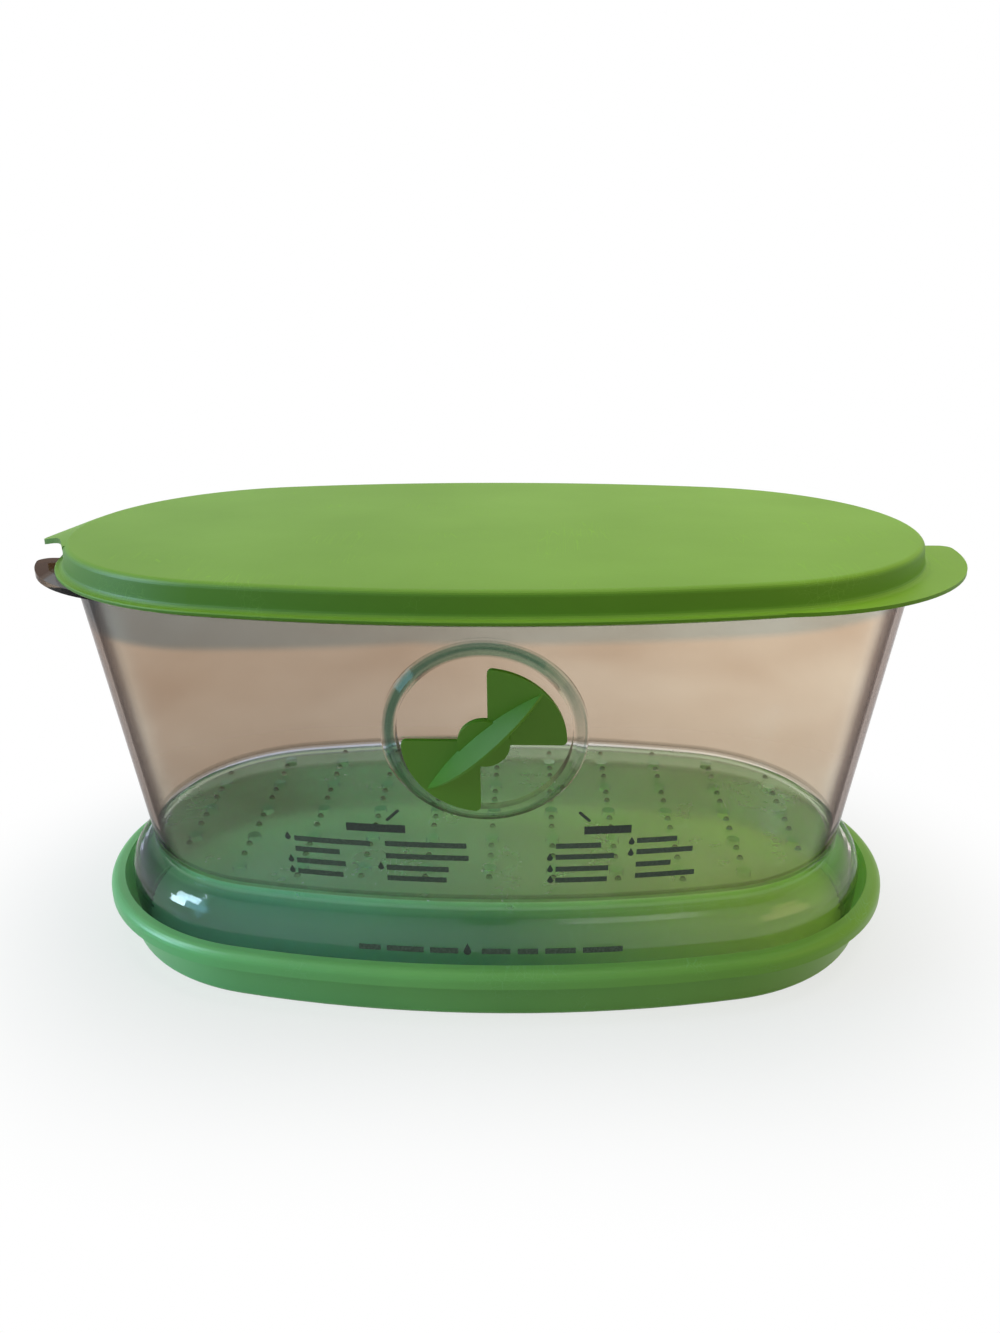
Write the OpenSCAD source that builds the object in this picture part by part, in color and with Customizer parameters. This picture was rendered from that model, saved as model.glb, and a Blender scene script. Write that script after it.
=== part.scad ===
// Produce keeper: a clear oval tub with a perforated floor that stands in a
// drip tray, a lift-off lid, and a quarter-turn vent dial on the front wall.
// Units are millimetres, +Z is up, the length runs along X and the front faces -Y.

/* [Node] */
// Sub-part to build, or all of them

/* [Plan outline] */
// Half the length of the lid top
half_length = 145; // [135:1:155]
// Half the width of the lid top
half_width = 84; // [80:1:92]
// How much the long sides bulge: half the width less the radius of the rounded ends
side_bulge = 7.5; // [6:0.5:12]

/* [Tub] */
// Height of the underside of the perforated floor
floor_height = 34; // [30:1:40]
// Height of the top of the rim bead, under the lid
rim_height = 136.6; // [128:0.2:146]
// Outline step inward from the lid top at the floor
floor_inset = 18; // [15:0.5:20]
// Outline step inward from the lid top at the rim
rim_inset = 2.35; // [2.2:0.05:3.2]
// Wall thickness of the clear tub
tub_wall = 2; // [1.6:0.1:2.4]
// Thickness of the perforated floor
floor_thick = 2.4; // [2:0.1:3.5]
// Height of the wall edge above the rim bead
rim_lip = 6.6; // [5:0.2:7]
// Thickness of the rim bead
rim_bead = 1.4; // [1:0.1:2]
// Thickness of the finger tab at the left end of the rim
tub_tab_thick = 2; // [1.4:0.1:3]
// How much smaller than the end radius the radius of the finger tab is
tub_tab_step = 16.5; // [14:0.1:20]
// Distance from the lid end to the tip of the finger tab
tub_tab_reach = 11.9; // [9:0.1:15]
// Distance from the middle line to the straight back edge of the finger tab
tub_tab_back = -9.9; // [-14:0.1:-5]

/* [Foot] */
// Widest point of the foot skirt, inward from the lid outline
foot_inset = 8.5; // [8:0.1:10]
// Height of the widest point of the foot skirt
foot_height = 21.5; // [19:0.5:24]

/* [Drain pattern] */
// Spacing of the drain holes along the length
hole_pitch_x = 21.65; // [18:0.05:27]
// Spacing of the drain holes along the width
hole_pitch_y = 21.75; // [18:0.05:27]
// Radius of a drain hole
hole_radius = 2.4; // [1.8:0.1:3.5]
// Distance from a drain hole to the raised stud before and behind it
stud_gap = 7.3; // [6:0.1:8]
// Radius of a raised stud at its foot
stud_radius = 1.5; // [1:0.1:1.8]
// Height of a raised stud
stud_height = 1.1; // [0.6:0.1:1.8]

/* [Vent] */
// Height of the vent centre
vent_height = 100; // [96:0.5:101]
// Radius of the vent boss where it leaves the wall
boss_radius = 31; // [29:0.1:31.5]
// Radius of the flat face of the boss
boss_face_radius = 27.4; // [26:0.1:28]
// How far the boss face stands out of the wall
boss_rise = 3; // [2:0.1:5]
// Thickness of the panel with the two windows
panel_thick = 2; // [1.6:0.1:2.4]
// Outer radius of the two windows
window_radius = 22; // [18:0.1:23]
// Radius of the solid ring round the pin hole
window_inner = 7.4; // [6.5:0.1:8]
// Distance from the vent centre lines to a window edge
window_inset = 3; // [2:0.1:6]
// Radius of the pin hole in the panel
pin_hole = 4; // [3:0.1:4.6]

/* [Vent dial] */
// Radius of the two blades
blade_radius = 24.4; // [23.5:0.1:25.5]
// Thickness of the blades
blade_thick = 1.4; // [1:0.1:2]
// Rounding of the two outer corners of a blade
blade_corner = 1.6; // [0.8:0.1:3]
// Radius of the hub disc
hub_radius = 7.8; // [7:0.1:9]
// How far the hub disc stands out of the blades
hub_rise = 0.7; // [0.3:0.1:1.5]
// Length of the ridge grip
grip_length = 49; // [40:0.5:50]
// Width of the ridge grip at its foot
grip_width = 7.4; // [5:0.1:9]
// Height of the ridge grip over the blades
grip_height = 8.4; // [5:0.1:10]
// Play between the dial pin and its hole, on the radius
pin_play = 0.08; // [0.03:0.01:0.1]
// Gap between the dial and the ribs of the panel
dial_gap = 0.3; // [0.2:0.05:0.5]

/* [Lid] */
// Height of the lid above its lower edge
lid_height = 9.1; // [8.9:0.1:12]
// Thickness of the lid plate
lid_plate = 2.3; // [1.8:0.1:2.6]
// Radius of the rounded top edge
lid_round = 2.2; // [1:0.1:2.2]
// How far the edge flange stands out from the lid top
lid_flange = 3.3; // [2:0.1:5]
// Thickness of the edge flange
lid_flange_thick = 1.2; // [0.9:0.1:2]
// How much larger than the end radius the radius of the pull tab is
lid_tab_step = 1.5; // [-2:0.1:4]
// Distance from the lid end to the tip of the pull tab
lid_tab_reach = 14.2; // [10:0.1:18]
// Distance from the middle line to the straight back edge of the pull tab
lid_tab_back = 4.2; // [0:0.1:10]
// Rounding of the back corner of both end tabs
tab_corner = 4; // [2:0.1:6]
// How far the thumb lip at the left end reaches past the lid
thumb_reach = 11.3; // [6:0.1:14]
// Half the width of the thumb lip where it has half its reach
thumb_width = 7; // [4:0.1:10]
// Downward slope of the thumb lip
thumb_slope = 17; // [0:1:22]
// Thickness of the thumb lip
thumb_thick = 1.8; // [1.2:0.1:2.2]
// Gap between the lid and the tub
lid_gap = 0.4; // [0.3:0.05:0.6]

/* [Drip tray] */
// Height of the drip tray
tray_height = 21; // [19:0.5:23]
// Wall thickness of the drip tray
tray_wall = 1.8; // [1.4:0.1:2.2]
// Outline step inward from the lid top at the tray bottom
tray_inset = 7.5; // [7:0.1:8]
// Outline step inward from the lid top at the outside of the tray lip
lip_inset = 0.5; // [0:0.1:1]
// Height of the outside of the tray lip
lip_drop = 5.6; // [4:0.1:7]
// Gap between the foot skirt and the floor of the tray
seat_gap = 0.3; // [0.2:0.05:0.5]

/* [Hidden] */
$fn = 96;

green = [0.42, 0.66, 0.22];
clear = [0.80, 0.80, 0.77, 0.35];

// The plan outline is made of four arcs: two round the end centres and two long ones
// round the side centres, which meet at the join angle.
end_radius = half_width - side_bulge;
end_x = half_length - end_radius;
side_radius = (end_x * end_x + half_width * half_width - end_radius * end_radius)
    / (2 * (half_width - end_radius));
side_y = side_radius - half_width;
join_angle = atan2(side_y, end_x);
mid_lap = 12;
core = 6;
sweep_low = -20;
sweep_tall = 240;
fill = 400;
tub_tab_radius = end_radius - tub_tab_step;
lid_tab_radius = end_radius + lid_tab_step;

flange_low = rim_height + 0.3;
lid_top = flange_low + lid_height;
wall_lean = atan((floor_inset - rim_inset) / (rim_height - rim_bead - floor_height));
foot_base = tray_wall + 0.4 + seat_gap;
rim_bead_out = -1.2;
skirt_fillet = min(2, lid_flange - 1.2);

// The thumb lip leaves the rounded edge of the lid top where that has the slope of the lip
thumb_start = -lid_round * (1 - sin(thumb_slope));
thumb_level = lid_top - lid_round * (1 - cos(thumb_slope)) - 0.06;
thumb_side = -4;
thumb_span = 26;

pin_radius = pin_hole - pin_play;
rib_rise = 0.3;
rib_width = 1.6;
blade_level = boss_rise + rib_rise + dial_gap;
blade_edge = 1.2;
blade_foot = -0.6;

// The worn spot on the front edge of the lid top: its place, measured back from the right
// end, its distance from the middle line, and its size
nick_back = 36;
nick_side = -67.6;
nick_radius = 0.9;

// Offset of the outside of the tub wall from the lid outline at a height
function wall_offset(z) = -floor_inset
    + (floor_inset - rim_inset) * (z - floor_height) / (rim_height - rim_bead - floor_height);

// True where a point lies inside the plan outline moved by an offset
function inside(x, y, offset) = abs(y) > (abs(x) - end_x) * tan(join_angle)
    ? norm([x, abs(y) + side_y]) < side_radius + offset
    : norm([abs(x) - end_x, y]) < end_radius + offset;

// Points of an elliptical quarter from one angle to another, for rounded profiles
function arc_points(cx, cy, rx, ry, from, to, steps) =
    [for (i = [0 : steps]) [
        cx + rx * cos(from + (to - from) * i / steps),
        cy + ry * sin(from + (to - from) * i / steps)]];

// Reach of the thumb lip at a distance from its own middle line: a hill from 0 to 1 that
// runs out level on both sides
function bell(y) = 1 / (1 + pow(y / thumb_width, 2));
function hill(y) = (bell(y) - bell(thumb_span)) / (1 - bell(thumb_span));

// Sweeps a profile along the plan outline. In the profile X is the offset from the lid
// outline and Y is the height. What reaches far inward fills the middle.
module oval_sweep() {
    for (turn = [0, 180]) {
        rotate(turn)
            translate([end_x, 0, 0])
                rotate_extrude()
                    intersection() {
                        translate([end_radius, 0])
                            children();
                        translate([0, sweep_low])
                            square([core, sweep_tall]);
                    }
        rotate(turn)
            translate([end_x, 0, 0])
                rotate(-join_angle)
                    rotate_extrude(angle = 2 * join_angle)
                        intersection() {
                            translate([end_radius, 0])
                                children();
                            translate([0, sweep_low])
                                square([fill, sweep_tall]);
                        }
        rotate(turn)
            translate([0, -side_y, 0])
                rotate(join_angle)
                    rotate_extrude(angle = 180 - 2 * join_angle)
                        intersection() {
                            translate([side_radius, 0])
                                children();
                            translate([side_y - mid_lap, sweep_low])
                                square([fill, sweep_tall]);
                        }
    }
}

// Puts its children on the vent axis: Z points out of the wall, Y runs up the wall
module on_vent() {
    translate([0, -(half_width + wall_offset(vent_height)), vent_height])
        rotate([90 + wall_lean, 0, 0])
            children();
}

// One quarter of the bow-tie, between two edges and an outer radius
module quarter(edge_x, edge_y, radius) {
    intersection() {
        circle(r = radius);
        translate([edge_x, edge_y])
            square(radius + 5);
    }
}

// What the rounding of an outer corner takes off a quarter with an edge at a distance from
// its centre line
module corner_cut(edge, radius, round) {
    middle = [edge + round, sqrt(pow(radius - round, 2) - pow(edge + round, 2))];
    past = middle * (radius + 1) / (radius - round);
    difference() {
        polygon([[edge - 1, middle[1]], middle, past, [past[0], radius + 1],
            [edge - 1, radius + 1]]);
        translate(middle)
            circle(r = round, $fn = 32);
    }
}

// One blade of the dial: a quarter with its two outer corners rounded
module blade() {
    difference() {
        quarter(blade_edge, blade_foot, blade_radius);
        corner_cut(blade_edge, blade_radius, blade_corner);
        mirror([1, -1, 0])
            corner_cut(blade_foot, blade_radius, blade_corner);
    }
}

module tray_profile() {
    low = -tray_inset;
    top = tray_height;
    drop = top - lip_drop;
    neck = low + (tray_inset - lip_inset - 4) * 0.98;
    polygon(concat(
        [[-fill, 0]],
        arc_points(low - 2.5, 2.5, 2.5, 2.5, -90, 0, 5),
        [[neck, drop - 1], [neck + 0.3, drop + 1.6], [neck + 0.9, top - 2.4]],
        [[-lip_inset - 1.6, top - 2.4], [-lip_inset - 1.6, drop], [-lip_inset, drop]],
        arc_points(-lip_inset - 3.2, top - 3.2, 3.2, 3.2, 0, 90, 6),
        [[neck - 1.0, top], [neck - 1.7, top - 1.6]],
        [[low - tray_wall, tray_wall + 2.4], [low - tray_wall - 2, tray_wall + 0.4]],
        [[-fill, tray_wall + 0.4]]));
}

module base_tray() {
    color(green)
        oval_sweep()
            tray_profile();
}

// Outside of the foot skirt, from the waist down to its lower edge
function foot_outside() = concat(
    [[-floor_inset, floor_height + 0.6]],
    arc_points(-foot_inset - (floor_inset - foot_inset), foot_height,
        floor_inset - foot_inset, floor_height - foot_height - 0.6, 88, 0, 8),
    [[-foot_inset - 0.6, foot_height - 8], [-foot_inset - 2.1, foot_base]]);

module tub_profile() {
    level = rim_height - rim_bead;
    edge = rim_height + rim_lip;
    out = foot_outside();
    inner = [for (i = [len(out) - 1 : -1 : 2]) [
        out[i][0] - tub_wall, min(out[i][1] - (i < len(out) - 2 ? 1.2 : 0), floor_height - 0.1)]];
    polygon(concat(
        out,
        inner,
        [[-floor_inset - tub_wall - 1, floor_height], [-fill, floor_height]],
        [[-fill, floor_height + floor_thick]],
        [[-floor_inset - tub_wall + 0.2, floor_height + floor_thick]],
        [[-rim_inset - tub_wall, level], [-rim_inset - tub_wall, edge - 0.8]],
        [[-rim_inset - tub_wall + 0.7, edge], [-rim_inset - 0.7, edge], [-rim_inset, edge - 0.8]],
        [[-rim_inset, rim_height], [rim_bead_out - 0.3, rim_height], [rim_bead_out, rim_height - 0.3]],
        [[rim_bead_out, level + 0.3], [rim_bead_out - 0.3, level], [-rim_inset, level]]));
}

// Plan of an end tab about the centre of its arc, tip to the right: a disc cut straight
// along its back, with the corner rounded
module tab_plan(radius, back) {
    rotate(-90)
        difference() {
            intersection() {
                circle(r = radius);
                translate([-back, -radius - 1])
                    square([radius + back + 1, 2 * radius + 2]);
            }
            corner_cut(-back, radius, tab_corner);
        }
}

// Tab that reaches past one end of the outline, on the front side. Its inner edge is the
// end circle moved by an offset that lies inside the wall which carries it.
module end_tab(side, radius, reach, back, low, thick, inner) {
    centre_x = half_length + reach - radius;
    difference() {
        translate([side * centre_x, 0, low])
            mirror([side < 0 ? 1 : 0, 0, 0])
                linear_extrude(thick)
                    tab_plan(radius, back);
        translate([side * end_x, 0, low - 1])
            cylinder(h = thick + 2, r = end_radius + inner);
        translate([-centre_x, -half_width, low - 1])
            cube([2 * centre_x, 2 * half_width, thick + 2]);
    }
}

module drain_holes() {
    for (i = [-5 : 5], j = [-3 : 3])
        if (inside(i * hole_pitch_x, j * hole_pitch_y, -floor_inset - tub_wall - hole_radius - 3.5))
            translate([i * hole_pitch_x, j * hole_pitch_y, floor_height - 1])
                cylinder(h = floor_thick + 2, r = hole_radius, $fn = 24);
}

module floor_studs() {
    for (i = [-5 : 5], j = [-3 : 3], side = [-1, 1])
        if (inside(i * hole_pitch_x, j * hole_pitch_y, -floor_inset - tub_wall - hole_radius - 3.5)
            && inside(i * hole_pitch_x, j * hole_pitch_y + side * stud_gap,
                -floor_inset - tub_wall - stud_radius - 1.2))
            translate([i * hole_pitch_x, j * hole_pitch_y + side * stud_gap,
                floor_height + floor_thick - 0.4])
                cylinder(h = stud_height + 0.4, r1 = stud_radius, r2 = stud_radius * 0.5, $fn = 16);
}

module vent_boss() {
    on_vent() {
        translate([0, 0, -2.2])
            cylinder(h = 2.3, r = boss_radius);
        translate([0, 0, 0.1])
            cylinder(h = boss_rise - 0.9, r1 = boss_radius, r2 = boss_face_radius + 1.2);
        translate([0, 0, boss_rise - 0.8])
            cylinder(h = 0.8, r1 = boss_face_radius + 1.2, r2 = boss_face_radius);
        translate([0, 0, boss_rise])
            linear_extrude(rib_rise)
                difference() {
                    intersection() {
                        circle(r = blade_radius);
                        union() {
                            square([rib_width, 2 * blade_radius + 2], center = true);
                            square([2 * blade_radius + 2, rib_width], center = true);
                        }
                    }
                    circle(r = window_inner);
                }
    }
}

module vent_cuts() {
    on_vent() {
        translate([0, 0, -14])
            cylinder(h = 14 + boss_rise - panel_thick, r = boss_face_radius - 1);
        for (turn = [0, 180])
            rotate(turn)
                translate([0, 0, -1])
                    linear_extrude(boss_rise + 3)
                        difference() {
                            quarter(window_inset, window_inset, window_radius);
                            circle(r = window_inner);
                        }
        translate([0, 0, -1])
            cylinder(h = boss_rise + 3, r = pin_hole, $fn = 48);
    }
}

module tub() {
    color(clear)
        difference() {
            union() {
                oval_sweep()
                    tub_profile();
                end_tab(-1, tub_tab_radius, tub_tab_reach, tub_tab_back,
                    rim_height - tub_tab_thick, tub_tab_thick, -rim_inset - 0.6 * tub_wall);
                vent_boss();
                floor_studs();
            }
            vent_cuts();
            drain_holes();
        }
}

module lid_profile() {
    low = flange_low;
    skirt = -rim_inset + lid_gap;
    plug = -rim_inset - tub_wall - lid_gap;
    polygon(concat(
        [[-fill, lid_top]],
        arc_points(-lid_round, lid_top - lid_round, lid_round, lid_round, 90, 0, 6),
        arc_points(0.4 + skirt_fillet, low + lid_flange_thick + skirt_fillet,
            skirt_fillet, skirt_fillet, 180, 270, 5),
        [[lid_flange - 0.3, low + lid_flange_thick], [lid_flange, low + lid_flange_thick - 0.3]],
        [[lid_flange, low + 0.3], [lid_flange - 0.3, low]],
        [[skirt, low], [skirt, lid_top - lid_plate]],
        [[plug, lid_top - lid_plate], [plug, low + 2], [plug - 0.5, low + 1.4], [plug - 1.8, low + 1.4]],
        [[plug - 1.8, lid_top - lid_plate], [-fill, lid_top - lid_plate]]));
}

// Thumb lip: a band that slopes down round the end centre, cut to the hill in plan
module thumb_lip() {
    steps = 32;
    drop = tan(thumb_slope);
    far = thumb_reach + 2;
    edge = [for (i = [0 : steps])
        let (y = thumb_span * (2 * i / steps - 1))
        [-end_x - sqrt(pow(end_radius, 2) - pow(y + thumb_side, 2)) - thumb_reach * hill(y),
            y + thumb_side]];
    intersection() {
        translate([-end_x, 0, 0])
            rotate_extrude()
                translate([end_radius, 0])
                    polygon([
                        [thumb_start - 0.3, thumb_level + 0.3 * drop],
                        [far, thumb_level - drop * (far - thumb_start)],
                        [far, thumb_level - drop * (far - thumb_start) - thumb_thick],
                        [thumb_start - 0.3, thumb_level + 0.3 * drop - thumb_thick]]);
        translate([0, 0, lid_top - 20])
            linear_extrude(30)
                polygon(concat(edge, [
                    [-end_x - end_radius + 12, thumb_span + thumb_side],
                    [-end_x - end_radius + 12, -thumb_span + thumb_side]]));
    }
}

module lid() {
    color(green)
        difference() {
            union() {
                oval_sweep()
                    lid_profile();
                end_tab(1, lid_tab_radius, lid_tab_reach, lid_tab_back,
                    flange_low, lid_flange_thick, lid_gap - rim_inset + 1);
                thumb_lip();
            }
            translate([half_length - nick_back, nick_side, lid_top])
                sphere(r = nick_radius, $fn = 24);
        }
}

// Spindle-shaped ridge: two leaning round walls that meet in a narrow crest
module grip() {
    half = grip_length / 2;
    w = grip_width / 2;
    lean = atan(w / (grip_height + 1.1));
    flat = w * cos(lean);
    bulge = (half * half + flat * flat) / (2 * flat);
    centre = (bulge - flat) / cos(lean);
    crest = (half * half + (grip_height + 0.8) * (grip_height + 0.8)) / (2 * (grip_height + 0.8));
    rotate(44)
        intersection() {
            translate([-half, -w - 1, -0.6])
                cube([grip_length, grip_width + 2, grip_height + 2]);
            translate([0, -centre, 0])
                rotate([lean, 0, 0])
                    cylinder(h = 2 * grip_length, r = bulge, center = true, $fn = 180);
            translate([0, centre, 0])
                rotate([-lean, 0, 0])
                    cylinder(h = 2 * grip_length, r = bulge, center = true, $fn = 180);
            translate([0, 0, grip_height - crest])
                rotate([90, 0, 0])
                    cylinder(h = 3 * grip_width, r = crest, center = true, $fn = 180);
        }
}

module dial_pin() {
    back = boss_rise - panel_thick - 0.35;
    difference() {
        union() {
            translate([0, 0, back - 1])
                cylinder(h = blade_level - back + 1.2, r = pin_radius, $fn = 48);
            translate([0, 0, back - 2.6])
                cylinder(h = 1.8, r1 = pin_radius - 0.8, r2 = pin_radius + 1, $fn = 48);
            translate([0, 0, back - 0.8])
                cylinder(h = 0.8, r = pin_radius + 1, $fn = 48);
        }
        translate([-10, -0.8, back - 4])
            cube([20, 1.6, panel_thick + 4.6]);
    }
}

module vent_dial() {
    color(green)
        on_vent() {
            translate([0, 0, blade_level])
                linear_extrude(blade_thick)
                    union() {
                        blade();
                        rotate(180)
                            blade();
                    }
            translate([0, 0, blade_level])
                cylinder(h = blade_thick + hub_rise, r = hub_radius);
            translate([0, 0, blade_level + blade_thick])
                grip();
            dial_pin();
        }
}

base_tray();
tub();
lid();
vent_dial();
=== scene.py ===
"""Looks of the produce keeper: materials for its mouldings, the print on its front, and the studio."""

import math

import bmesh
import bpy
from mathutils import Matrix, Vector


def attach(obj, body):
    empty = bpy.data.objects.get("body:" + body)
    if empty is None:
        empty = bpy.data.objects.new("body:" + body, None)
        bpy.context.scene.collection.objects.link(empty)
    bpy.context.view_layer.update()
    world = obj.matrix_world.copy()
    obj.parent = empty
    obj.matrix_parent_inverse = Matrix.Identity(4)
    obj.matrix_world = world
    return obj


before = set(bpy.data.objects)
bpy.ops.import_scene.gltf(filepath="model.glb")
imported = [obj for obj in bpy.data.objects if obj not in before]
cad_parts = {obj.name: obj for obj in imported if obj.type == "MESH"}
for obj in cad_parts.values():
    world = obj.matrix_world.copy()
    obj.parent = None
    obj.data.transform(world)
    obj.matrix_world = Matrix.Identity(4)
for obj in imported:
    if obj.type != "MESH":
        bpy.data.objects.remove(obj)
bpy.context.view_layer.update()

bl_info = {
    "name": "Produce keeper looks",
    "version": (1, 0, 0),
    "blender": (4, 5, 0),
    "location": "View3D > Sidebar > Keeper",
    "description": "Materials, print and studio for a clear produce keeper",
    "category": "Object",
}

MM = 0.001

# The tub wall leans out by the flare over the rise, in millimetres. VENT_LEAN is the cosine of that lean.
WALL_FLARE = 15.65
WALL_RISE = 101.2
VENT_LEAN = 0.988

# Places on the object, in metres. A pair is the stretch over which one look turns into the next.
VENT_HEIGHT = 0.100
BEVEL_INSIDE = (0.0268, 0.0276)
BEVEL_OUTSIDE = (0.0294, 0.0304)
BOSS_EDGE_INSIDE = (0.0296, 0.0299)
BOSS_EDGE_OUTSIDE = (0.0303, 0.0307)
MIRRORED_LID = (0.080, 0.112)
# Stretches over which painted light and shade turn from front to back and from left to right.
FRONT_TO_BACK = (-0.012, 0.012)
WALL_LEFT_TO_RIGHT = (-0.045, 0.085)
FOOT_LEFT_TO_RIGHT = (0.0, 0.095)
RIM_LEFT_TO_RIGHT = (-0.100, 0.0)
GREEN_LEFT_TO_RIGHT = (-0.100, 0.120)
# Where the painted shade of the finger tab starts.
TAB_ROOT = (-0.1455, -0.1440)
# Where the foot's painted shade lifts going up, and where its painted dark green back starts.
FOOT_DEPTH = (0.008, 0.030)
TRAY_EDGE = (0.0205, 0.0245)
FOOT_GLOSS_END = (0.0290, 0.0325)
FOOT_TOP = (0.0325, 0.0338)
PLATE_UNDERSIDE = (0.0330, 0.0338)
PLATE_TOP = (0.0364, 0.0366)
WALL_START = (0.0368, 0.0378)
SEAM_START = (0.0365, 0.0369)
SEAM_END = (0.0379, 0.0386)
# Where the walls get darker towards the bottom.
DARKER_LOW_WALL = (0.045, 0.112)
# Where the painted shade of the rim under the lid starts; RIM_DROP lowers it towards the left.
RIM_START = (0.1280, 0.1305)
RIM_DROP = (-0.125, -0.020)
RIM_DROP_HEIGHT = 0.009

# How far a normal points up or down where a green face goes from upright, with painted shade, to flat.
UPRIGHT_TO_FLAT = (0.45, 0.80)

# Refraction: the clear moulding bends light far less than a real one, which keeps its outlines dark.
CLEAR_IOR = 1.035
COAT_IOR = 1.5
GREEN_IOR = 1.49

# The plan outline as two round ends joined by straight sides, in metres, and where its shadow fades out.
END_X = 0.0685
END_RADIUS = 0.0765
SHADOW_FADE = (-0.01, 0.09)

# The camera that was fitted to the photograph: metres, radians and pixels of the frame.
CAMERA_PLACE = (0.013412, -0.375720, 0.228606)
CAMERA_PITCH = 0.344
CAMERA_YAW = 0.029
CAMERA_ROLL = -0.005
FOCAL_PIXELS = 1100.0
FRAME_PIXELS = 1333.0
SENSOR_WIDTH = 36.0

# Strength of the world where it only lights the object, and of all that is seen as white.
AMBIENT = 0.17
FULL_WHITE = 1.0

# Name, place, aim, size, watts and colour of each lamp. The last one shows in gloss only.
OBJECT_MIDDLE = (0.0, 0.0, 0.06)
LAMPS = (
    ("overhead", (0.12, 0.20, 1.35), OBJECT_MIDDLE, (1.3, 1.0), 9.0, (1.0, 1.0, 1.0)),
    ("window", (-1.18, -0.38, 0.44), OBJECT_MIDDLE, (0.50, 0.70), 5.0, (0.30, 0.78, 1.0)),
    ("fill", (1.2, -0.55, 0.60), OBJECT_MIDDLE, (0.7, 0.7), 2.5, (1.0, 0.80, 0.40)),
    ("window glint", (-1.08, -0.20, 0.62), (-0.10, -0.05, 0.03), (0.26, 0.80), 22.0, (0.60, 0.86, 1.0)),
)


def millimetres(name, value):
    """A size that is given in millimetres and kept in metres."""
    return bpy.props.FloatProperty(name=name, subtype="DISTANCE", default=value * MM, precision=6)


def linear_colour(name, value):
    """A linear colour of red, green and blue."""
    return bpy.props.FloatVectorProperty(name=name, subtype="COLOR", default=value)


class KeeperSizes(bpy.types.PropertyGroup):
    """Sizes of the tub wall that the print lies on."""

    side_radius: millimetres("Side arc radius", 393.147)
    side_centre: millimetres("Side arc centre", 309.147)
    floor_height: millimetres("Floor height", 34.0)
    floor_inset: millimetres("Floor inset", 18.0)
    wall_slope: bpy.props.FloatProperty(name="Wall slope", default=WALL_FLARE / WALL_RISE, precision=6)
    foot_height: millimetres("Foot shoulder height", 21.5)
    foot_bulge: millimetres("Foot shoulder bulge", 9.5)
    foot_reach: millimetres("Foot shoulder reach", 11.9)
    ink_lift: millimetres("Ink lift", 0.06)
    ink_thick: millimetres("Ink thickness", 0.05)


class KeeperColours(bpy.types.PropertyGroup):
    """Linear colours of the mouldings and the ink."""

    # Painted light: the lid is darker at its left end, and the tray takes a painted cool light at its left
    # end.
    lid_left: linear_colour("Lid, left", (0.200, 0.405, 0.021))
    lid_right: linear_colour("Lid, right", (0.248, 0.475, 0.019))
    tray_left: linear_colour("Tray, left", (0.345, 0.850, 0.310))
    tray_right: linear_colour("Tray, right", (0.300, 0.600, 0.060))
    dial: linear_colour("Dial", (0.168, 0.382, 0.030))
    # The faint smoky tint of the walls, with painted shade: darker to the left, and darker and browner at
    # the back.
    front_left: linear_colour("Front wall, left", (0.72, 0.68, 0.61))
    front_right: linear_colour("Front wall, right", (0.88, 0.84, 0.77))
    back_left: linear_colour("Back wall, left", (0.62, 0.50, 0.405))
    back_right: linear_colour("Back wall, right", (0.83, 0.70, 0.56))
    # Painted light on the drain floor: darker and cooler at the left, warmer at the right.
    floor_left: linear_colour("Drain floor, left", (0.69, 0.77, 1.00))
    floor_right: linear_colour("Drain floor, right", (1.00, 0.97, 0.90))
    # Painted light and shade on the foot: dark and cool at the left, warm at the right; its back is a
    # painted dark green shade.
    foot_left: linear_colour("Foot, left", (0.31, 0.35, 0.43))
    foot_right: linear_colour("Foot, right", (0.80, 0.70, 0.64))
    foot_back: linear_colour("Foot, back", (0.26, 0.42, 0.22))
    # Painted shade in the rim under the lid, darker to the left.
    rim_left: linear_colour("Rim, left", (0.50, 0.64, 0.78))
    rim_right: linear_colour("Rim, right", (0.72, 0.88, 1.00))
    # Painted reflection of the lid on the vent bevel.
    ring: linear_colour("Vent bevel", (0.10, 0.27, 0.19))
    # Painted shade: the finger tab is dark brown.
    tab: linear_colour("Finger tab", (0.42, 0.20, 0.10))
    ink: linear_colour("Bold ink", (0.018, 0.028, 0.020))
    pale_ink: linear_colour("Light ink", (0.050, 0.072, 0.050))
    studio: linear_colour("Studio floor", (0.44, 0.43, 0.41))


def sizes():
    return bpy.context.scene.keeper_sizes


def colours():
    return bpy.context.scene.keeper_colours


class Sock:
    """A node output that takes part in Python arithmetic by adding Math nodes."""

    def __init__(self, graph, out):
        self.graph = graph
        self.out = out

    def _math(self, operation, a, b):
        return self.graph.add("ShaderNodeMath", "Value", {"operation": operation}, {0: a, 1: b})

    def __add__(self, other):
        return self._math("ADD", self, other)

    def __radd__(self, other):
        return self._math("ADD", other, self)

    def __sub__(self, other):
        return self._math("SUBTRACT", self, other)

    def __rsub__(self, other):
        return self._math("SUBTRACT", other, self)

    def __mul__(self, other):
        return self._math("MULTIPLY", self, other)

    def __rmul__(self, other):
        return self._math("MULTIPLY", other, self)

    def __truediv__(self, other):
        return self._math("DIVIDE", self, other)

    def __rtruediv__(self, other):
        return self._math("DIVIDE", other, self)

    def __lt__(self, other):
        return self._math("LESS_THAN", self, other)

    def __gt__(self, other):
        return self._math("GREATER_THAN", self, other)

    def minimum(self, other):
        return self._math("MINIMUM", self, other)

    def maximum(self, other):
        return self._math("MAXIMUM", self, other)

    def absolute(self):
        return self._math("ABSOLUTE", self, 0.0)

    def root(self):
        return self._math("SQRT", self, 0.0)


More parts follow.
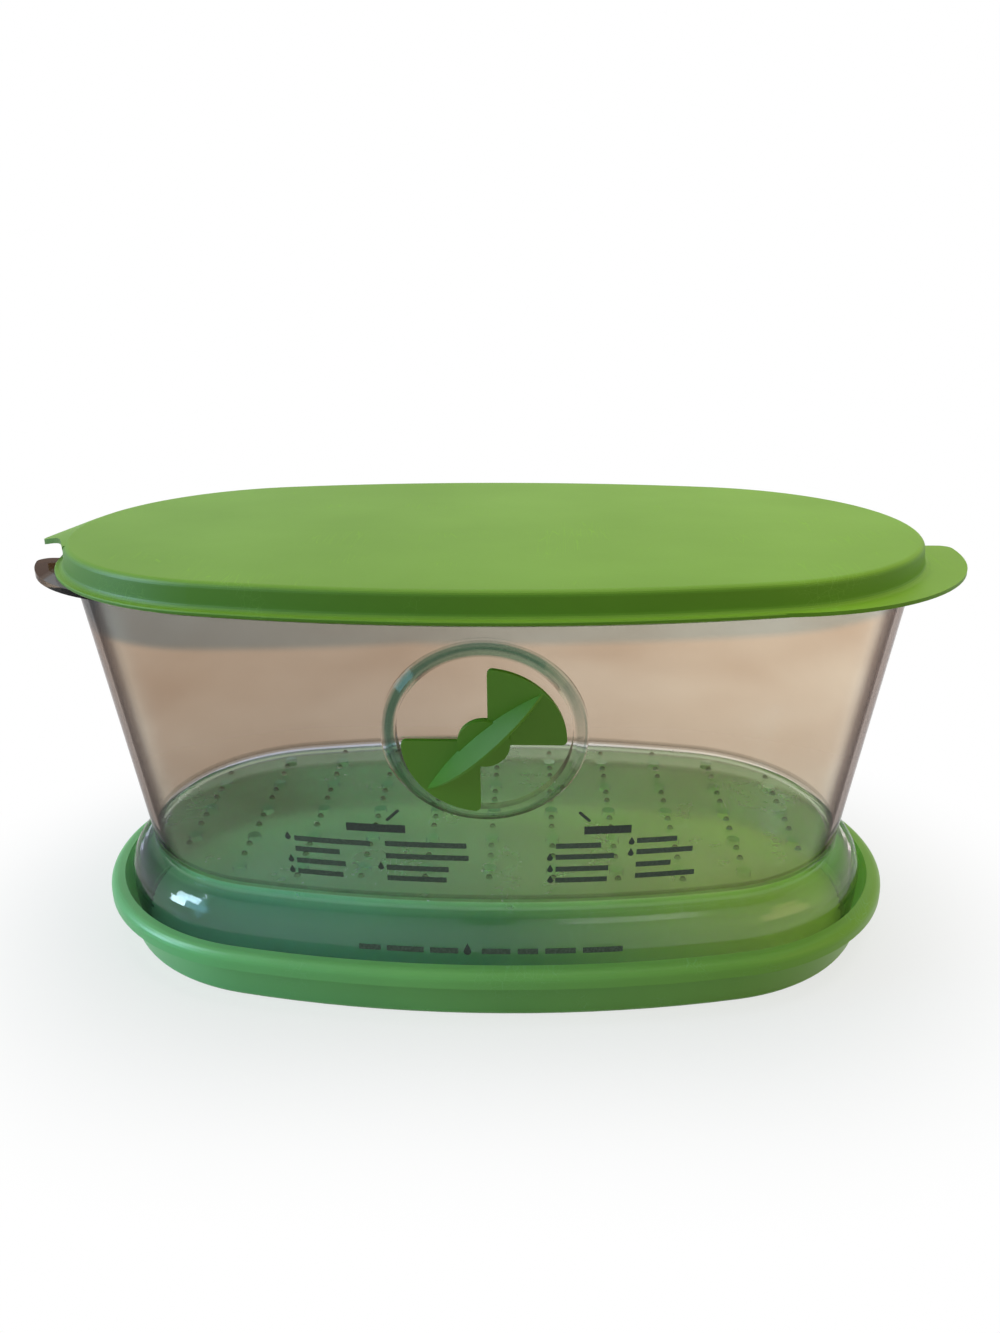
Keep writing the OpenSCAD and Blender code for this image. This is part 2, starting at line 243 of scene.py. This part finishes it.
class Graph:
    """A node tree with one way to add nodes."""

    def __init__(self, tree):
        self.tree = tree

    def add(self, kind, output=0, settings=None, values=None):
        """Adds a node: its settings first, then its input values and links. Returns one output."""
        node = self.tree.nodes.new(kind)
        for key, value in (settings or {}).items():
            setattr(node, key, value)
        for key, value in (values or {}).items():
            socket = node.inputs[key]
            if isinstance(value, Sock):
                self.tree.links.new(value.out, socket)
            else:
                socket.default_value = value
        if output is None:
            return node
        return Sock(self, node.outputs[output])

    def blend(self, factor, first, second, way="MIX"):
        """Mixes two colours by a factor."""
        node = self.add("ShaderNodeMix", None, {"data_type": "RGBA", "blend_type": way}, {"Factor": factor})
        for name, value in (("A", first), ("B", second)):
            socket = next(s for s in node.inputs if s.name == name and s.type == "RGBA")
            if isinstance(value, Sock):
                self.tree.links.new(value.out, socket)
            else:
                socket.default_value = tuple(value) + (1.0,)
        return Sock(self, next(s for s in node.outputs if s.type == "RGBA"))

    def tint(self, factor, base, tint):
        """Multiplies a colour by a tint, by a factor."""
        return self.blend(factor, base, tint, "MULTIPLY")

    def spread(self, value, low, high, to_low=0.0, to_high=1.0):
        """Maps a value from one range to another, clamped."""
        return self.add("ShaderNodeMapRange", "Result", {"clamp": True},
                        {"Value": value, "From Min": low, "From Max": high,
                         "To Min": to_low, "To Max": to_high})

    def noise(self, vector, scale, detail=2.0, rough=0.5):
        """Noise from 0 to 1."""
        return self.add("ShaderNodeTexNoise", 0, {"noise_dimensions": "3D"},
                        {"Vector": vector, "Scale": scale, "Detail": detail, "Roughness": rough})

    def stretched(self, vector, scale, turn=(0.0, 0.0, 0.0)):
        """A vector scaled by axis and turned, for streaks and scratches."""
        return self.add("ShaderNodeMapping", "Vector", None,
                        {"Vector": vector, "Scale": scale, "Rotation": turn})

    def axes(self, vector):
        """The X, Y and Z of a vector."""
        parts = self.add("ShaderNodeSeparateXYZ", None, None, {"Vector": vector})
        return [Sock(self, parts.outputs[axis]) for axis in "XYZ"]

    def mix_surface(self, factor, shader, other):
        """Sends a mix of the Principled shader and another one to the material output."""
        both = self.add("ShaderNodeMixShader", "Shader", None,
                        {0: factor, 1: Sock(self, shader.outputs["BSDF"]), 2: other})
        output = next(n for n in self.tree.nodes if n.type == "OUTPUT_MATERIAL")
        self.tree.links.new(both.out, output.inputs["Surface"])


def new_material(name):
    """A material with a bare Principled shader; returns it, its graph and its shader."""
    material = bpy.data.materials.new(name)
    material.use_nodes = True
    tree = material.node_tree
    tree.nodes.clear()
    graph = Graph(tree)
    shader = graph.add("ShaderNodeBsdfPrincipled", None)
    output = graph.add("ShaderNodeOutputMaterial", None)
    tree.links.new(shader.outputs["BSDF"], output.inputs["Surface"])
    return material, graph, shader


def plug(graph, shader, values):
    """Links varying values to shader inputs."""
    for name, value in values.items():
        graph.tree.links.new(value.out, shader.inputs[name])


def settle(shader, values):
    """Sets shader inputs to uniform values."""
    for name, value in values.items():
        shader.inputs[name].default_value = value


def scratches(graph, where, scale, turn, keep):
    """Thin sparse lines: a stretched Voronoi edge kept only where a noise lets it through."""
    lines = graph.stretched(where, (scale, scale * 0.045, scale), turn)
    cells = graph.add("ShaderNodeTexVoronoi", "Distance", {"feature": "DISTANCE_TO_EDGE"},
                      {"Vector": lines, "Scale": 1.0})
    line = graph.spread(cells, 0.0, 0.02, 1.0, 0.0)
    gate = graph.spread(graph.noise(where, 38.0, 2.0), keep, keep + 0.06)
    return line * gate


def green_plastic(name, left, right, rough, worn, sides=(1.0, 1.0, 1.0)):
    """Satin moulded polypropylene: slight mottle, soft sheen, fine moulding bump and scuffs. Its colour runs
    from left to right as painted light, and its upright faces are darkened by a painted shade."""
    material, graph, shader = new_material(name)
    where = graph.add("ShaderNodeTexCoord", "Object")
    mottle = graph.noise(where, 14.0, 3.0)
    grain = graph.noise(where, 900.0, 2.0, 0.6)
    x = graph.axes(where)[0]
    # Painted light: the colour runs from the left end to the right end as the light falls.
    base = graph.blend(graph.spread(x, *GREEN_LEFT_TO_RIGHT), left, right)
    base = graph.tint(graph.spread(mottle, 0.35, 0.65), base, (0.88, 0.88, 0.88))
    facing_up = graph.axes(graph.add("ShaderNodeNewGeometry", "Normal"))[2].absolute()
    # Painted shade: upright faces are darkened by this tint.
    base = graph.tint(graph.spread(facing_up, *UPRIGHT_TO_FLAT, 1.0, 0.0), base, sides)
    scuff = (scratches(graph, where, 420.0, (0.0, 0.0, 0.5), 0.56)
             + scratches(graph, where, 310.0, (0.0, 0.0, 1.9), 0.60)).minimum(1.0) * worn
    scuffed = [min(1.0, c * 1.4 + 0.10) for c in left]
    base = graph.blend(scuff * 0.35, base, scuffed)
    rough = rough + (mottle - 0.5) * 0.10 + (grain - 0.5) * 0.04 + scuff * 0.18
    height = grain * 0.35 + mottle * 0.25 - scuff * 0.6
    bump = graph.add("ShaderNodeBump", "Normal", None,
                     {"Height": height, "Strength": 0.10, "Distance": 0.0004})
    plug(graph, shader, {"Base Color": base, "Roughness": rough, "Normal": bump})
    settle(shader, {
        "IOR": GREEN_IOR, "Specular IOR Level": 0.25, "Subsurface Weight": 0.08,
        "Subsurface Radius": (0.6, 1.0, 0.25), "Subsurface Scale": 0.002,
    })
    return material


def boss_lid_reflection(graph, x, y, z):
    """Mask of a painted reflection of the lid on the vent boss: 1 on its bevel at the top, where it shows
    the lid, less lower down and on a painted dark line along its outer edge, and 0 elsewhere."""
    rise = (z - VENT_HEIGHT) / VENT_LEAN
    reach = (x * x + rise * rise).root()
    bevel = graph.spread(reach, *BEVEL_INSIDE) * graph.spread(reach, *BEVEL_OUTSIDE, 1.0, 0.0)
    # A painted dark line along the outer edge of the boss.
    edge = graph.spread(reach, *BOSS_EDGE_INSIDE, 0.0, 0.55)
    edge = edge * graph.spread(reach, *BOSS_EDGE_OUTSIDE, 1.0, 0.0)
    # Painted reflection of the lid, strongest at the top left.
    shade = bevel * graph.spread(z - x * 0.6, *MIRRORED_LID, 0.25, 1.0)
    return shade.maximum(edge) * (y < 0.0)


def foot_tint(graph, x, z, behind, c):
    """Tint of the foot skirt, painted light and shade: darker and bluer to the front left and low down. Its
    back is a painted dark green shade above the tray's edge, where the white background would show."""
    # Painted light: dark and cool at the left, warm at the right.
    front = graph.blend(graph.spread(x, *FOOT_LEFT_TO_RIGHT), c.foot_left, c.foot_right)
    # Painted shade: darker and bluer low down.
    low_shade = graph.blend(graph.spread(z, *FOOT_DEPTH), (0.74, 0.78, 0.92), (1.14, 1.15, 1.22))
    # Painted dark green shade on the back of the foot.
    back = graph.blend(graph.spread(z, *TRAY_EDGE), (0.85, 0.95, 0.85), c.foot_back)
    return graph.blend(behind, graph.tint(1.0, front, low_shade), back)


def wall_tint(graph, where, x, y, z, c):
    """Tint of the clear moulding: faintly smoky, with painted shade to the left and at the back, darker
    towards the bottom, painted light on the drain floor and the foot, painted shade in the rim under the lid
    and in the finger tab, and a painted reflection of the lid on the vent bevel."""
    side = graph.spread(x, *WALL_LEFT_TO_RIGHT)
    behind = graph.spread(y, *FRONT_TO_BACK)
    # The faint smoky tint, with painted shade: darker to the left, and darker and browner at the back.
    front = graph.blend(side, c.front_left, c.front_right)
    back = graph.blend(side, c.back_left, c.back_right)
    tint = graph.blend(behind, front, back)
    clouds = graph.noise(graph.stretched(where, (0.6, 0.6, 1.5)), 17.0, 2.0)
    tint = graph.tint(graph.spread(clouds, 0.42, 0.66), tint, (0.88, 0.83, 0.79))
    # Darker towards the bottom.
    tint = graph.tint(graph.spread(z, *DARKER_LOW_WALL, 1.0, 0.0), tint, (0.86, 0.87, 0.88))
    seam = graph.spread(z, *SEAM_START) * graph.spread(z, *SEAM_END, 1.0, 0.0)
    tint = graph.tint(seam, tint, (0.50, 0.50, 0.48))
    # Painted light on the drain floor: darker and cooler at the left, warmer at the right.
    floor = graph.blend(side, c.floor_left, c.floor_right)
    low = graph.blend(graph.spread(z, *FOOT_TOP), foot_tint(graph, x, z, behind, c), floor)
    tint = graph.blend(graph.spread(z, *PLATE_TOP, 1.0, 0.0), tint, low)
    # Painted reflection of the lid on the vent bevel, and a painted dark line on its edge.
    tint = graph.tint(boss_lid_reflection(graph, x, y, z), tint, c.ring)
    # Painted shade in the rim under the lid, darker to the left.
    rim = graph.blend(graph.spread(x, *RIM_LEFT_TO_RIGHT), c.rim_left, c.rim_right)
    rim_height = z + graph.spread(x, *RIM_DROP, RIM_DROP_HEIGHT, 0.0)
    tint = graph.tint(graph.spread(rim_height, *RIM_START), tint, rim)
    # Painted shade: the finger tab is dark brown.
    return graph.tint(graph.spread(x, *TAB_ROOT, 1.0, 0.0), tint, c.tab)


def clear_plastic(name, c):
    """Clear, faintly smoky moulding with painted light and shade in its tint, a wavy surface, fingerprints
    and fine rubs. Light from the lamps passes straight through it, so that what lies inside is lit."""
    material, graph, shader = new_material(name)
    where = graph.add("ShaderNodeTexCoord", "Object")
    x, y, z = graph.axes(where)
    waves = graph.noise(graph.stretched(where, (1.0, 1.0, 0.35)), 26.0, 2.0)
    smudge = graph.spread(graph.noise(where, 46.0, 4.0, 0.6), 0.52, 0.75)
    rub = scratches(graph, where, 360.0, (0.3, 0.2, 0.4), 0.60)
    plate = graph.spread(z, *PLATE_UNDERSIDE) * graph.spread(z, *WALL_START, 1.0, 0.0)
    foot = graph.spread(z, *FOOT_GLOSS_END, 1.0, 0.0)
    wall = graph.spread(z, *WALL_START)
    rough = 0.02 + smudge * 0.03 + rub * 0.01 + plate * 0.24
    bump = graph.add("ShaderNodeBump", "Normal", None,
                     {"Height": waves + rub * -0.05, "Strength": 0.08, "Distance": 0.0006})
    base = graph.tint(smudge * 0.5, wall_tint(graph, where, x, y, z, c), (0.97, 0.97, 0.97))
    # The walls darken sharply towards their outlines, the foot and the floor more slowly.
    turned_away = graph.add("ShaderNodeLayerWeight", "Facing", None, {"Blend": 0.5})
    slow = graph.spread(turned_away, 0.60, 0.92, 0.0, 0.7) * (1.0 - wall)
    edge = slow + graph.spread(turned_away, 0.60, 0.74) * wall
    base = graph.tint(edge, base, (0.25, 0.19, 0.18))
    coat = (0.26 + plate * 0.55 + (boss_lid_reflection(graph, x, y, z) + foot) * 0.3 - edge * 0.22).maximum(0.0)
    plug(graph, shader, {"Base Color": base, "Roughness": rough, "Normal": bump, "Coat Weight": coat})
    settle(shader, {
        "IOR": CLEAR_IOR, "Transmission Weight": 1.0, "Specular Tint": (0.30, 0.28, 0.27, 1.0),
        "Coat Roughness": 0.07, "Coat IOR": COAT_IOR,
    })
    open_way = graph.add("ShaderNodeBsdfTransparent", "BSDF", None, {"Color": (0.95, 0.92, 0.96, 1.0)})
    graph.mix_surface(graph.add("ShaderNodeLightPath", "Is Shadow Ray"), shader, open_way)
    return material


def ink_material(name, colour):
    """Screen-printed ink: matt, slightly uneven."""
    material, graph, shader = new_material(name)
    where = graph.add("ShaderNodeTexCoord", "Object")
    uneven = graph.noise(where, 1600.0, 3.0, 0.6)
    base = graph.blend(graph.spread(uneven, 0.4, 0.7), colour, [c * 1.8 + 0.01 for c in colour])
    plug(graph, shader, {"Base Color": base, "Roughness": 0.45 + uneven * 0.2})
    settle(shader, {"Specular IOR Level": 0.4})
    return material


def dress(node, material):
    """Gives a carried-over CAD node its material."""
    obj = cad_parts.get(node)
    if obj is None:
        raise RuntimeError(f"the frame has no node named {node}")
    if not obj.material_slots:
        raise RuntimeError(f"node {node} has no material slot")
    for slot in obj.material_slots:
        slot.link = "OBJECT"
        slot.material = material


# The print, in millimetres: x runs along the front from its middle, z is the height above the stand.
WORD_HEIGHT = 2.0
HEADING_HEIGHT = 3.0
FOOT_WORD_HEIGHT = 1.8
FOOT_LINE = 24.1
FOOT_INK_LIFT = 0.04


def word_row(x, z, lengths, height, space=0.0):
    """One line of print: a bar for each word, from left to right. A bar is its middle, its height above the
    stand, its length and how tall it is."""
    bars = []
    for length in lengths:
        bars.append((x + length / 2, z, length, height))
        x += length + space
    return bars


def headings():
    """The two bold bars, one under each tick."""
    return word_row(-44.3, 64.8, (18.9,), HEADING_HEIGHT) + word_row(30.6, 64.7, (14.9,), HEADING_HEIGHT)


def wall_bars():
    """Bars that stand in place of the listed words on the tub wall: four columns of four."""
    columns = (
        (-62.0, (58.6, 54.5, 49.9, 45.5), (24.9, 14.8, 16.4, 15.3)),
        (-32.2, (59.0, 54.2, 49.6, 45.4), (25.9, 26.5, 20.0, 19.2)),
        (21.8, (58.9, 54.6, 49.9, 45.5), (14.3, 18.6, 16.9, 16.6)),
        (47.5, (60.0, 55.6, 50.7, 46.2), (12.9, 18.3, 11.4, 19.5)),
    )
    bars = []
    for x, heights, lengths in columns:
        for z, length in zip(heights, lengths):
            bars += word_row(x, z, (length,), WORD_HEIGHT)
    return bars


def foot_bars():
    """Bars that stand in place of the one line on the foot skirt, before and after its drop."""
    before = word_row(-41.4, FOOT_LINE, (7.1, 12.0, 9.2), FOOT_WORD_HEIGHT, 2.0)
    after = word_row(-1.6, FOOT_LINE, (9.2, 6.5, 9.8, 12.9), FOOT_WORD_HEIGHT, 2.3)
    return before + after


def drop_outline(x, z, size):
    """Outline of a water drop, point up."""
    points = []
    for i in range(13):
        angle = math.radians(150 + 240 * i / 12)
        points.append((x + 0.5 * size * math.cos(angle), z - 0.18 * size + 0.5 * size * math.sin(angle)))
    points.append((x, z + 0.95 * size))
    return points


def bar_outline(x, z, length, height, turn):
    """Outline of a straight bar with round ends, turned by an angle in degrees."""
    points = []
    straight = length / 2 - height / 2
    c, s = math.cos(math.radians(turn)), math.sin(math.radians(turn))
    for end in (0, 1):
        for i in range(7):
            angle = math.radians(-90 + 180 * end + 180 * i / 6)
            px = (straight if end == 0 else -straight) + height / 2 * math.cos(angle)
            pz = height / 2 * math.sin(angle)
            points.append((x + px * c - pz * s, z + px * s + pz * c))
    return points


def wall_marks():
    """Two ticks and nine drops on the tub wall."""
    ticks = [bar_outline(-29.2, 69.9, 5.9, 1.0, 46), bar_outline(30.6, 69.9, 5.1, 1.0, -46)]
    drops = ((-64.2, 59.2), (-63.9, 50.2), (-63.9, 45.9), (-34.0, 49.9), (20.0, 54.5), (20.1, 50.0),
             (20.2, 45.7), (45.8, 59.8), (45.7, 55.4))
    return ticks + [drop_outline(x, z, 1.9) for x, z in drops]


def foot_marks():
    """The drop in the line on the foot."""
    return [drop_outline(-6.2, 24.4, 2.4)]


def flat_solids(name, outlines, thick):
    """Thin closed plates on the XZ plane from outlines in millimetres; X and Z stay flat until wrapped."""
    mesh = bpy.data.meshes.new(name)
    bm = bmesh.new()
    for outline in outlines:
        front = [bm.verts.new((x * MM, 0.0, z * MM)) for x, z in outline]
        back = [bm.verts.new((x * MM, thick, z * MM)) for x, z in outline]
        bm.faces.new(front)
        bm.faces.new(list(reversed(back)))
        for i in range(len(front)):
            j = (i + 1) % len(front)
            bm.faces.new((front[j], front[i], back[i], back[j]))
    bmesh.ops.recalc_face_normals(bm, faces=bm.faces)
    bm.to_mesh(mesh)
    bm.free()
    obj = bpy.data.objects.new(name, mesh)
    bpy.context.scene.collection.objects.link(obj)
    return obj


BAR_ATTRIBUTES = ("bar_length", "bar_height")


def point_cloud(name, bars):
    """One vertex for each bar, with its length and height as attributes."""
    mesh = bpy.data.meshes.new(name)
    mesh.from_pydata([(x * MM, 0.0, z * MM) for x, z, _, _ in bars], [], [])
    for index, key in enumerate(BAR_ATTRIBUTES, start=2):
        layer = mesh.attributes.new(key, "FLOAT", "POINT")
        layer.data.foreach_set("value", [bar[index] * MM for bar in bars])
    obj = bpy.data.objects.new(name, mesh)
    bpy.context.scene.collection.objects.link(obj)
    return obj


INPUTS = ("Side Radius", "Side Centre", "Base Offset", "Slope", "Bulge", "Bulge Height", "Bulge Reach",
          "Lift", "Thickness")


def wrap_tree(name, with_bars):
    """Geometry nodes that lay a flat layout on the curved front of the tub. With bars, each point first
    gets a bar of its own length and height."""
    tree = bpy.data.node_groups.new(name, "GeometryNodeTree")
    face = tree.interface
    face.new_socket("Geometry", in_out="INPUT", socket_type="NodeSocketGeometry")
    for label in INPUTS:
        face.new_socket(label, in_out="INPUT", socket_type="NodeSocketFloat")
    face.new_socket("Material", in_out="INPUT", socket_type="NodeSocketMaterial")
    face.new_socket("Geometry", in_out="OUTPUT", socket_type="NodeSocketGeometry")
    graph = Graph(tree)
    enter = graph.add("NodeGroupInput", None)
    given = {socket.name: Sock(graph, socket) for socket in enter.outputs if socket.name}
    shape = given["Geometry"]
    if with_bars:
        unit = graph.add("GeometryNodeMeshCube", "Mesh", None,
                         {"Size": (1.0, 1.0, 1.0), "Vertices X": 9, "Vertices Y": 2, "Vertices Z": 2})
        length, height = (graph.add("GeometryNodeInputNamedAttribute", "Attribute", {"data_type": "FLOAT"},
                                    {"Name": key}) for key in BAR_ATTRIBUTES)
        scale = graph.add("ShaderNodeCombineXYZ", "Vector", None,
                          {"X": length, "Y": given["Thickness"], "Z": height})
        spots = graph.add("GeometryNodeMeshToPoints", "Points", None, {"Mesh": shape})
        bars = graph.add("GeometryNodeInstanceOnPoints", "Instances", None,
                         {"Points": spots, "Instance": unit, "Scale": scale})
        shape = graph.add("GeometryNodeRealizeInstances", "Geometry", None, {"Geometry": bars})
    x, y, z = graph.axes(graph.add("GeometryNodeInputPosition", "Position"))
    rise = (z - given["Bulge Height"]) / given["Bulge Reach"]
    bulge = given["Bulge"] * (1.0 - rise * rise).maximum(0.0).root()
    wall = given["Side Radius"] + given["Base Offset"] + given["Slope"] * z
    radius = wall + bulge + given["Lift"] - y
    turn = x / (radius + y)
    sine = graph.add("ShaderNodeMath", "Value", {"operation": "SINE"}, {0: turn})
    cosine = graph.add("ShaderNodeMath", "Value", {"operation": "COSINE"}, {0: turn})
    place = graph.add("ShaderNodeCombineXYZ", "Vector", None,
                      {"X": radius * sine, "Y": given["Side Centre"] - radius * cosine, "Z": z})
    moved = graph.add("GeometryNodeSetPosition", "Geometry", None, {"Geometry": shape, "Position": place})
    whole = graph.add("GeometryNodeRealizeInstances", "Geometry", None, {"Geometry": moved})
    finished = graph.add("GeometryNodeSetMaterial", "Geometry", None,
                         {"Geometry": whole, "Material": given["Material"]})
    leave = graph.add("NodeGroupOutput", None)
    tree.links.new(finished.out, leave.inputs["Geometry"])
    return tree


def wrap(obj, tree, values, material):
    """Runs the wrapping nodes on an object and keeps the plain mesh that comes out."""
    modifier = obj.modifiers.new("wrap", "NODES")
    modifier.node_group = tree
    for item in tree.interface.items_tree:
        if item.item_type == "SOCKET" and item.in_out == "INPUT":
            if item.name in values:
                modifier[item.identifier] = values[item.name]
            elif item.name == "Material":
                modifier[item.identifier] = material
    bpy.context.view_layer.update()
    depsgraph = bpy.context.evaluated_depsgraph_get()
    mesh = bpy.data.meshes.new_from_object(obj.evaluated_get(depsgraph), depsgraph=depsgraph)
    if not mesh.polygons:
        raise RuntimeError(f"{obj.name} came out empty")
    obj.modifiers.remove(modifier)
    obj.data = mesh
    bm = bmesh.new()
    bm.from_mesh(mesh)
    bmesh.ops.recalc_face_normals(bm, faces=bm.faces)
    bm.to_mesh(mesh)
    bm.free()
    mesh.materials.clear()
    mesh.materials.append(material)


def wall_values():
    """Where the front wall of the tub lies, for the wrapping nodes."""
    s = sizes()
    return {
        "Side Radius": s.side_radius, "Side Centre": s.side_centre,
        "Base Offset": -s.floor_inset - s.wall_slope * s.floor_height, "Slope": s.wall_slope,
        "Bulge": 0.0, "Bulge Height": 0.0, "Bulge Reach": 1.0, "Lift": s.ink_lift, "Thickness": s.ink_thick,
    }


def foot_values():
    """Where the front of the foot skirt lies, for the wrapping nodes."""
    s = sizes()
    return {
        "Side Radius": s.side_radius, "Side Centre": s.side_centre,
        "Base Offset": -s.floor_inset, "Slope": 0.0,
        "Bulge": s.foot_bulge, "Bulge Height": s.foot_height, "Bulge Reach": s.foot_reach,
        "Lift": s.ink_lift + FOOT_INK_LIFT * MM, "Thickness": s.ink_thick,
    }


class KEEPER_OT_finishes(bpy.types.Operator):
    """Give the tray, tub, lid and dial their materials"""

    bl_idname = "keeper.finishes"
    bl_label = "Finish the mouldings"

    def execute(self, context):
        c = colours()
        # Painted shade darkens the upright faces, a little on the tray and more on the lid.
        dress("base_tray", green_plastic("tray green", c.tray_left, c.tray_right, rough=0.38, worn=0.5,
                                         sides=(0.96, 1.0, 1.0)))
        dress("lid", green_plastic("lid green", c.lid_left, c.lid_right, rough=0.52, worn=1.0,
                                   sides=(0.70, 0.80, 1.0)))
        dress("vent_dial", green_plastic("dial green", c.dial, c.dial, rough=0.36, worn=0.3))
        dress("tub", clear_plastic("clear wall", c))
        return {"FINISHED"}


class KEEPER_OT_print(bpy.types.Operator):
    """Lay the bars, ticks and drops of the print on the front of the tub"""

    bl_idname = "keeper.print"
    bl_label = "Print the front"

    def execute(self, context):
        bold = ink_material("bold print ink", colours().ink)
        light = ink_material("light print ink", colours().pale_ink)
        bar_tree = wrap_tree("bars on a wall", True)
        mark_tree = wrap_tree("marks on a wall", False)
        thick = sizes().ink_thick
        wall, foot = wall_values(), foot_values()
        jobs = (
            (point_cloud("print_headings", headings()), bar_tree, wall, bold),
            (point_cloud("print_words", wall_bars()), bar_tree, wall, light),
            (point_cloud("print_foot_words", foot_bars()), bar_tree, foot, light),
            (flat_solids("print_marks", wall_marks(), thick), mark_tree, wall, bold),
            (flat_solids("print_foot_mark", foot_marks(), thick), mark_tree, foot, bold),
        )
        for obj, tree, values, ink in jobs:
            wrap(obj, tree, values, ink)
            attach(obj, "tub_body")
        return {"FINISHED"}


def area_lamp(name, place, aim, size, power, colour):
    """A soft lamp that faces the point it is aimed at."""
    lamp = bpy.data.lights.new(name, "AREA")
    lamp.shape = "RECTANGLE"
    lamp.size, lamp.size_y = size
    lamp.energy = power
    lamp.color = colour
    obj = bpy.data.objects.new(name, lamp)
    bpy.context.scene.collection.objects.link(obj)
    obj.location = place
    obj.rotation_euler = (Vector(aim) - Vector(place)).to_track_quat("-Z", "Y").to_euler()
    return obj


def studio_sheet(name, half, material):
    """A square sheet on the floor, which belongs to the stage."""
    mesh = bpy.data.meshes.new(name)
    corners = [(-half, -half, 0), (half, -half, 0), (half, half, 0), (-half, half, 0)]
    mesh.from_pydata(corners, [], [(0, 1, 2, 3)])
    mesh.materials.append(material)
    obj = bpy.data.objects.new(name, mesh)
    bpy.context.scene.collection.objects.link(obj)


def seen_directly(graph):
    """1 for rays from the camera, off gloss or through glass, and 0 for rays that light the object."""
    ray = graph.add("ShaderNodeLightPath", None)
    seen = Sock(graph, ray.outputs["Is Camera Ray"]) + Sock(graph, ray.outputs["Is Glossy Ray"])
    return (seen + Sock(graph, ray.outputs["Is Transmission Ray"])).minimum(1.0)


def floor_material():
    """Pale floor that keeps the shadow near the object and runs out to white further off."""
    material, graph, shader = new_material("pale floor")
    where = graph.add("ShaderNodeTexCoord", "Object")
    tone = graph.noise(where, 6.0, 3.0)
    seen = seen_directly(graph)
    shown = graph.blend(tone, (0.955, 0.955, 0.95), (0.965, 0.965, 0.96))
    plug(graph, shader, {"Base Color": graph.blend(seen, colours().studio, shown)})
    settle(shader, {"Roughness": 0.9, "Specular IOR Level": 0.0})
    x, y, _ = graph.axes(where)
    past = (x.absolute() - END_X).maximum(0.0)
    away = (past * past + y * y).root() - END_RADIUS
    near, far = SHADOW_FADE
    share = graph.add("ShaderNodeMapRange", "Result", {"clamp": True, "interpolation_type": "SMOOTHSTEP"},
                      {"Value": away, "From Min": near, "From Max": far, "To Min": 0.72, "To Max": 1.0})
    white = graph.add("ShaderNodeEmission", "Emission", None,
                      {"Color": (1.0, 1.0, 1.0, 1.0), "Strength": FULL_WHITE})
    graph.mix_surface(share * seen, shader, white)
    return material


def studio_world():
    """A world that is white where it is seen and a dim, cool fill light where it only lights the object."""
    world = bpy.data.worlds.new("studio")
    world.use_nodes = True
    world.node_tree.nodes.clear()
    graph = Graph(world.node_tree)
    seen = seen_directly(graph)
    sky = graph.blend(seen, (0.80, 1.0, 0.94), (1.0, 1.0, 1.0))
    back = graph.add("ShaderNodeBackground", None, None,
                     {"Color": sky, "Strength": AMBIENT + seen * (FULL_WHITE - AMBIENT)})
    output = graph.add("ShaderNodeOutputWorld", None)
    world.node_tree.links.new(back.outputs["Background"], output.inputs["Surface"])
    return world


def fitted_camera():
    """The camera that was fitted to the photograph."""
    camera = bpy.data.cameras.new("camera")
    camera.sensor_width = SENSOR_WIDTH
    camera.lens = FOCAL_PIXELS / FRAME_PIXELS * SENSOR_WIDTH
    camera.clip_start = 0.01
    obj = bpy.data.objects.new("camera", camera)
    bpy.context.scene.collection.objects.link(obj)
    flat = math.cos(CAMERA_PITCH)
    ahead = Vector((-math.sin(CAMERA_YAW) * flat, math.cos(CAMERA_YAW) * flat, -math.sin(CAMERA_PITCH)))
    right = Vector((math.cos(CAMERA_YAW), math.sin(CAMERA_YAW), 0.0))
    up = right.cross(ahead)
    across = right * math.cos(CAMERA_ROLL) + up * math.sin(CAMERA_ROLL)
    above = up * math.cos(CAMERA_ROLL) - right * math.sin(CAMERA_ROLL)
    turn = Matrix((across, above, -ahead)).transposed().to_4x4()
    obj.matrix_world = Matrix.Translation(CAMERA_PLACE) @ turn
    return obj


class KEEPER_OT_stage(bpy.types.Operator):
    """Set up the floor, the lamps, the world and the camera"""

    bl_idname = "keeper.stage"
    bl_label = "Set the stage"

    def execute(self, context):
        scene = context.scene
        studio_sheet("studio_floor", 6, floor_material())
        scene.world = studio_world()
        lamps = [area_lamp(*lamp) for lamp in LAMPS]
        glint = lamps[-1]
        glint.visible_diffuse = False
        glint.visible_transmission = False
        scene.camera = fitted_camera()
        scene.view_settings.view_transform = "Standard"
        return {"FINISHED"}


class KEEPER_PT_panel(bpy.types.Panel):
    """Sidebar panel of the produce keeper"""

    bl_idname = "KEEPER_PT_panel"
    bl_label = "Keeper"
    bl_space_type = "VIEW_3D"
    bl_region_type = "UI"
    bl_category = "Keeper"

    def draw(self, context):
        layout = self.layout
        for group in (sizes(), colours()):
            for name in type(group).__annotations__:
                layout.prop(group, name)
        for operator in OPERATORS:
            layout.operator(operator.bl_idname)


OPERATORS = (KEEPER_OT_finishes, KEEPER_OT_print, KEEPER_OT_stage)
CLASSES = (KeeperSizes, KeeperColours) + OPERATORS + (KEEPER_PT_panel,)


def register():
    for cls in CLASSES:
        bpy.utils.register_class(cls)
    bpy.types.Scene.keeper_sizes = bpy.props.PointerProperty(type=KeeperSizes)
    bpy.types.Scene.keeper_colours = bpy.props.PointerProperty(type=KeeperColours)


def unregister():
    del bpy.types.Scene.keeper_colours
    del bpy.types.Scene.keeper_sizes
    for cls in reversed(CLASSES):
        bpy.utils.unregister_class(cls)


def main():
    register()
    bpy.ops.keeper.finishes()
    bpy.ops.keeper.print()
    bpy.ops.keeper.stage()


if __name__ == "__main__":
    main()
